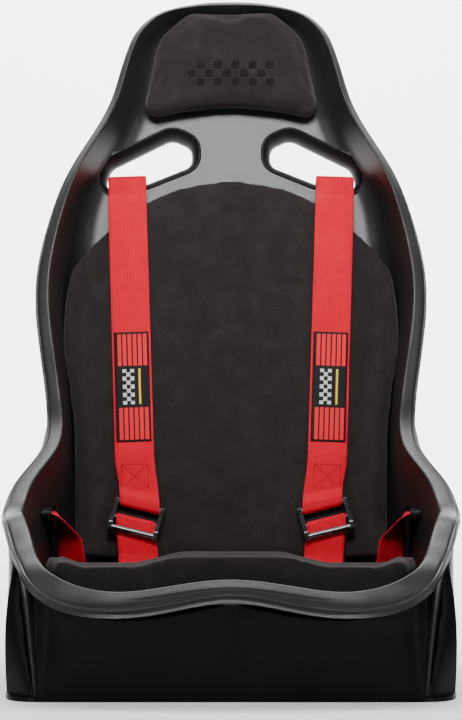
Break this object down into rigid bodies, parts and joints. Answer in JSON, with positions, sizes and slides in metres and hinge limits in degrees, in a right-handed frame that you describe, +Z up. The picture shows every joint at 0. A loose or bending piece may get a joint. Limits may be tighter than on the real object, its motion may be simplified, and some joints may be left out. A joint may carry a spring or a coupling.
{
  "type": "racing seat",
  "caption": "High-back bucket racing seat with suede pads, closed base, shoulder slots and a red webbing harness with tilting adjusters and a push-button buckle.",
  "frame": {"origin": "on the floor plane, at the middle of the four base bolts, on the plane of symmetry", "axes": "+X sideways, the seat faces -Y, +Z up"},
  "size_m": [0.548, 0.63, 0.8658],
  "materials": {
    "base_plastic": "smooth glossy black moulding",
    "bezel_plastic": "satin black moulding",
    "black_metal": "gloss black coated steel",
    "buckle_plastic": "satin black glass-filled nylon",
    "button_red": "red moulded button",
    "coated_steel": "black powder-coated steel",
    "hook_and_loop": "hook-and-loop tape",
    "plated_steel": "bright plated steel",
    "red_webbing": "red polyester harness webbing, 50 mm",
    "rubber_mount": "black rubber",
    "shell_plastic": "fine leather-grain moulded ABS, charcoal",
    "suede": "brushed black microsuede over foam",
    "woven_label": "woven badge with plain red stripes",
    "zinc_hardware": "zinc-plated fasteners"
  },
  "bodies": {
    "seat": {"back_pad": "suede", "back_pad_patches": "hook_and_loop", "base_mount_inserts": "zinc_hardware", "base_skirt": "base_plastic", "buckle_body": "buckle_plastic", "buckle_cover": "buckle_plastic", "buckle_screws": "zinc_hardware", "button_spring": "zinc_hardware", "cushion_patches": "hook_and_loop", "front_crossmember": "coated_steel", "front_shell": "shell_plastic", "head_pad": "suede", "head_pad_patches": "hook_and_loop", "lap_anchor_bolts": "zinc_hardware", "lap_anchor_nuts": "zinc_hardware", "lap_tongue": "plated_steel", "left_lap_anchor": "coated_steel", "left_lap_bezel": "bezel_plastic", "left_lap_strap": "red_webbing", "left_shoulder_anchor": "coated_steel", "left_shoulder_bezel": "bezel_plastic", "left_shoulder_strap": "red_webbing", "left_side_plate": "coated_steel", "left_strap_label": "woven_label", "pan_mounts": "rubber_mount", "pawl_pin": "zinc_hardware", "rear_crossmember": "coated_steel", "rear_shell": "shell_plastic", "right_lap_anchor": "coated_steel", "right_lap_bezel": "bezel_plastic", "right_lap_strap": "red_webbing", "right_shoulder_anchor": "coated_steel", "right_shoulder_bezel": "bezel_plastic", "right_shoulder_strap": "red_webbing", "right_side_plate": "coated_steel", "right_strap_label": "woven_label", "seat_cushion": "suede", "shell_screws": "zinc_hardware", "shoulder_anchor_bolts": "zinc_hardware", "shoulder_anchor_nuts": "zinc_hardware", "side_mount_inserts": "zinc_hardware"},
    "left_harness_end": {"left_adjuster": "black_metal", "left_lower_strap": "red_webbing", "left_shoulder_tab": "plated_steel"},
    "right_harness_end": {"right_adjuster": "black_metal", "right_lower_strap": "red_webbing", "right_shoulder_tab": "plated_steel"},
    "button": {"release_button": "button_red"},
    "pawl": {"latch_pawl": "plated_steel"}
  },
  "joints": [
    {"name": "left_adjuster_tilt", "type": "hinge", "parent": "seat", "child": "left_harness_end", "pos_m": [-0.11576, 0.11097, 0.20127], "axis": [-0.9703, 0.0626, 0.2337], "range_deg": [0, 25]},
    {"name": "right_adjuster_tilt", "type": "hinge", "parent": "seat", "child": "right_harness_end", "pos_m": [0.11576, 0.11097, 0.20127], "axis": [-0.9703, -0.0626, -0.2337], "range_deg": [0, 25]},
    {"name": "release_button_press", "type": "slide", "parent": "seat", "child": "button", "axis": [0, 0, -1], "range_m": [0, 0.003], "stiffness_N_per_m": 300, "springref_m": -0.002, "deforming": ["button_spring"]},
    {"name": "latch_pawl_lift", "type": "hinge", "parent": "seat", "child": "pawl", "pos_m": [0.026, -0.04, 0.1194], "axis": [0, 1, 0], "range_deg": [0, 12.5]}
  ],
  "couplings": [
    {"joint": "latch_pawl_lift", "follows": "release_button_press", "rad_per_m": 69.8}
  ]
}
